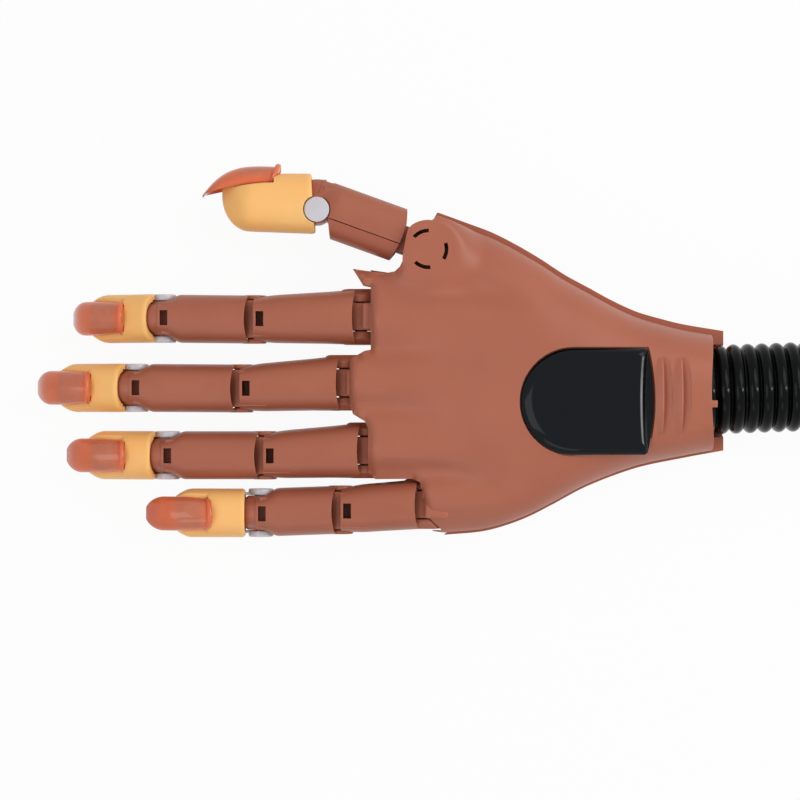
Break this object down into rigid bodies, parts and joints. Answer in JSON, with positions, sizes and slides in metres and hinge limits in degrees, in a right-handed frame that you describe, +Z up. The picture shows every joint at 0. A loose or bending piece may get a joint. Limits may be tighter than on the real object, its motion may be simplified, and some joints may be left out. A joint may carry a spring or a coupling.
{
  "type": "nail practice hand",
  "caption": "Life-size jointed plastic practice hand with soft fingertip caps and press-on nails, on a ribbed gooseneck arm with a bench clamp.",
  "frame": {"origin": "on the palm-side rest pad, under the middle of the hand", "axes": "+X from the fingers towards the arm, +Y towards the thumb, +Z up out of the back of the hand"},
  "size_m": [0.5546, 0.1191, 0.0339],
  "materials": {
    "skin_shell": "satin moulded",
    "soft_tip": "soft matte",
    "nail": "high gloss",
    "clear_white": "translucent",
    "black_gloss": "high gloss",
    "hose_black": "gloss",
    "clamp_black": "fine texture",
    "rubber_pad": "matte",
    "steel": "zinc plated"
  },
  "bodies": {
    "palm": {"palm_back_shell": "skin_shell", "palm_front_shell": "skin_shell", "palm_screw_1": "steel", "palm_screw_2": "steel", "palm_screw_3": "steel", "palm_screw_4": "steel", "wrist_collar": "hose_black", "arm_sleeve_1": "hose_black", "arm_core_1": "steel"},
    "cover": {"wrist_cover": "black_gloss"},
    "index_proximal": {"index_proximal_back": "skin_shell", "index_proximal_front": "skin_shell"},
    "index_middle": {"index_middle_back": "skin_shell", "index_middle_front": "skin_shell"},
    "index_tip": {"index_tip_core": "clear_white", "index_cap": "soft_tip"},
    "index_nail_body": {"index_nail": "nail"},
    "middle_proximal": {"middle_proximal_back": "skin_shell", "middle_proximal_front": "skin_shell"},
    "middle_middle": {"middle_middle_back": "skin_shell", "middle_middle_front": "skin_shell"},
    "middle_tip": {"middle_tip_core": "clear_white", "middle_cap": "soft_tip"},
    "middle_nail_body": {"middle_nail": "nail"},
    "ring_proximal": {"ring_proximal_back": "skin_shell", "ring_proximal_front": "skin_shell"},
    "ring_middle": {"ring_middle_back": "skin_shell", "ring_middle_front": "skin_shell"},
    "ring_tip": {"ring_tip_core": "clear_white", "ring_cap": "soft_tip"},
    "ring_nail_body": {"ring_nail": "nail"},
    "little_proximal": {"little_proximal_back": "skin_shell", "little_proximal_front": "skin_shell"},
    "little_middle": {"little_middle_back": "skin_shell", "little_middle_front": "skin_shell"},
    "little_tip": {"little_tip_core": "clear_white", "little_cap": "soft_tip"},
    "little_nail_body": {"little_nail": "nail"},
    "thumb_base": {"thumb_root": "skin_shell", "thumb_phalanx_back": "skin_shell", "thumb_phalanx_front": "skin_shell"},
    "thumb_tip": {"thumb_tip_core": "clear_white", "thumb_cap": "soft_tip"},
    "thumb_nail_body": {"thumb_nail": "nail"},
    "arm_near": {"arm_sleeve_2": "hose_black", "arm_core_2": "steel"},
    "arm_far": {"arm_sleeve_3": "hose_black", "arm_core_3": "steel"},
    "clamp_body": {"clamp_frame": "clamp_black", "clamp_jaw_pad": "rubber_pad"},
    "pad_body": {"clamp_pad": "rubber_pad"},
    "screw_body": {"clamp_screw": "steel", "clamp_knob": "clamp_black"}
  },
  "joints": [
    {"name": "cover_lift", "type": "slide", "parent": "palm", "child": "cover", "axis": [0, 0, 1], "range_m": [0, 0.02]},
    {"name": "index_knuckle", "type": "hinge", "parent": "palm", "child": "index_proximal", "pos_m": [-0.0637, 0.0237, 0.0155], "axis": [0, -1, 0], "range_deg": [-5, 60]},
    {"name": "index_middle_joint", "type": "hinge", "parent": "index_proximal", "child": "index_middle", "pos_m": [-0.098, 0.0229, 0.0155], "axis": [0, -1, 0], "range_deg": [-5, 75]},
    {"name": "index_tip_joint", "type": "hinge", "parent": "index_middle", "child": "index_tip", "pos_m": [-0.127, 0.0232, 0.0155], "axis": [0, -1, 0], "range_deg": [-23, 27]},
    {"name": "index_nail_slide", "type": "slide", "parent": "index_tip", "child": "index_nail_body", "axis": [-0.9994, 0, 0.0349], "range_m": [0, 0.012]},
    {"name": "middle_knuckle", "type": "hinge", "parent": "palm", "child": "middle_proximal", "pos_m": [-0.0688, 0.0026, 0.0155], "axis": [0, -1, 0], "range_deg": [-5, 60]},
    {"name": "middle_middle_joint", "type": "hinge", "parent": "middle_proximal", "child": "middle_middle", "pos_m": [-0.1023, 0.0008, 0.0155], "axis": [0, -1, 0], "range_deg": [-5, 75]},
    {"name": "middle_tip_joint", "type": "hinge", "parent": "middle_middle", "child": "middle_tip", "pos_m": [-0.1359, 0.001, 0.0155], "axis": [0, -1, 0], "range_deg": [-19, 31]},
    {"name": "middle_nail_slide", "type": "slide", "parent": "middle_tip", "child": "middle_nail_body", "axis": [-0.9945, 0, 0.1045], "range_m": [0, 0.012]},
    {"name": "ring_knuckle", "type": "hinge", "parent": "palm", "child": "ring_proximal", "pos_m": [-0.0621, -0.019, 0.0155], "axis": [0, -1, 0], "range_deg": [-5, 60]},
    {"name": "ring_middle_joint", "type": "hinge", "parent": "ring_proximal", "child": "ring_middle", "pos_m": [-0.0947, -0.0206, 0.0155], "axis": [0, -1, 0], "range_deg": [-5, 75]},
    {"name": "ring_tip_joint", "type": "hinge", "parent": "ring_middle", "child": "ring_tip", "pos_m": [-0.1258, -0.0206, 0.0155], "axis": [0, -1, 0], "range_deg": [-13, 37]},
    {"name": "ring_nail_slide", "type": "slide", "parent": "ring_tip", "child": "ring_nail_body", "axis": [-0.9781, 0, 0.2079], "range_m": [0, 0.012]},
    {"name": "little_knuckle", "type": "hinge", "parent": "palm", "child": "little_proximal", "pos_m": [-0.0438, -0.0362, 0.0155], "axis": [0, -1, 0], "range_deg": [-5, 60]},
    {"name": "little_middle_joint", "type": "hinge", "parent": "little_proximal", "child": "little_middle", "pos_m": [-0.0702, -0.0381, 0.0155], "axis": [0, -1, 0], "range_deg": [-5, 75]},
    {"name": "little_tip_joint", "type": "hinge", "parent": "little_middle", "child": "little_tip", "pos_m": [-0.0958, -0.039, 0.0155], "axis": [0, -1, 0], "range_deg": [-3, 47]},
    {"name": "little_nail_slide", "type": "slide", "parent": "little_tip", "child": "little_nail_body", "axis": [-0.9272, 0, 0.3746], "range_m": [0, 0.012]},
    {"name": "thumb_swing", "type": "hinge", "parent": "palm", "child": "thumb_base", "pos_m": [-0.0423, 0.0449, 0.0165], "axis": [0, 0, 1], "range_deg": [-15, 8]},
    {"name": "thumb_tip_joint", "type": "hinge", "parent": "thumb_base", "child": "thumb_tip", "pos_m": [-0.0777, 0.0577, 0.0165], "axis": [0, 0, 1], "range_deg": [-19, 30]},
    {"name": "thumb_nail_slide", "type": "slide", "parent": "thumb_tip", "child": "thumb_nail_body", "axis": [-0.9063, 0.4226, 0], "range_m": [0, 0.012]},
    {"name": "wrist_swing", "type": "hinge", "parent": "palm", "child": "arm_near", "pos_m": [0.07656, 0.00134, 0.0165], "axis": [0, 0, 1], "range_deg": [-35, 35], "deforming": ["arm_sleeve_1", "arm_core_1"]},
    {"name": "arm_lift", "type": "hinge", "parent": "arm_near", "child": "arm_far", "pos_m": [0.14968, 0.00329, 0.0165], "axis": [0, 1, 0], "range_deg": [-35, 35], "deforming": ["arm_sleeve_2", "arm_core_2"]},
    {"name": "base_swing", "type": "hinge", "parent": "arm_far", "child": "clamp_body", "pos_m": [0.2228, 0.00426, 0.0165], "axis": [0, 0, 1], "range_deg": [-35, 35], "deforming": ["arm_sleeve_3", "arm_core_3"]},
    {"name": "pad_travel", "type": "slide", "parent": "clamp_body", "child": "pad_body", "axis": [1, 0, 0], "range_m": [-0.015, 0.028]},
    {"name": "screw_turn", "type": "hinge", "parent": "pad_body", "child": "screw_body", "pos_m": [0.34766, -0.00961, 0.0165], "axis": [1, 0, 0], "range_deg": [-1351, 2521]}
  ],
  "couplings": [
    {"joint": "screw_turn", "follows": "pad_travel", "rad_per_m": 1570.8}
  ]
}
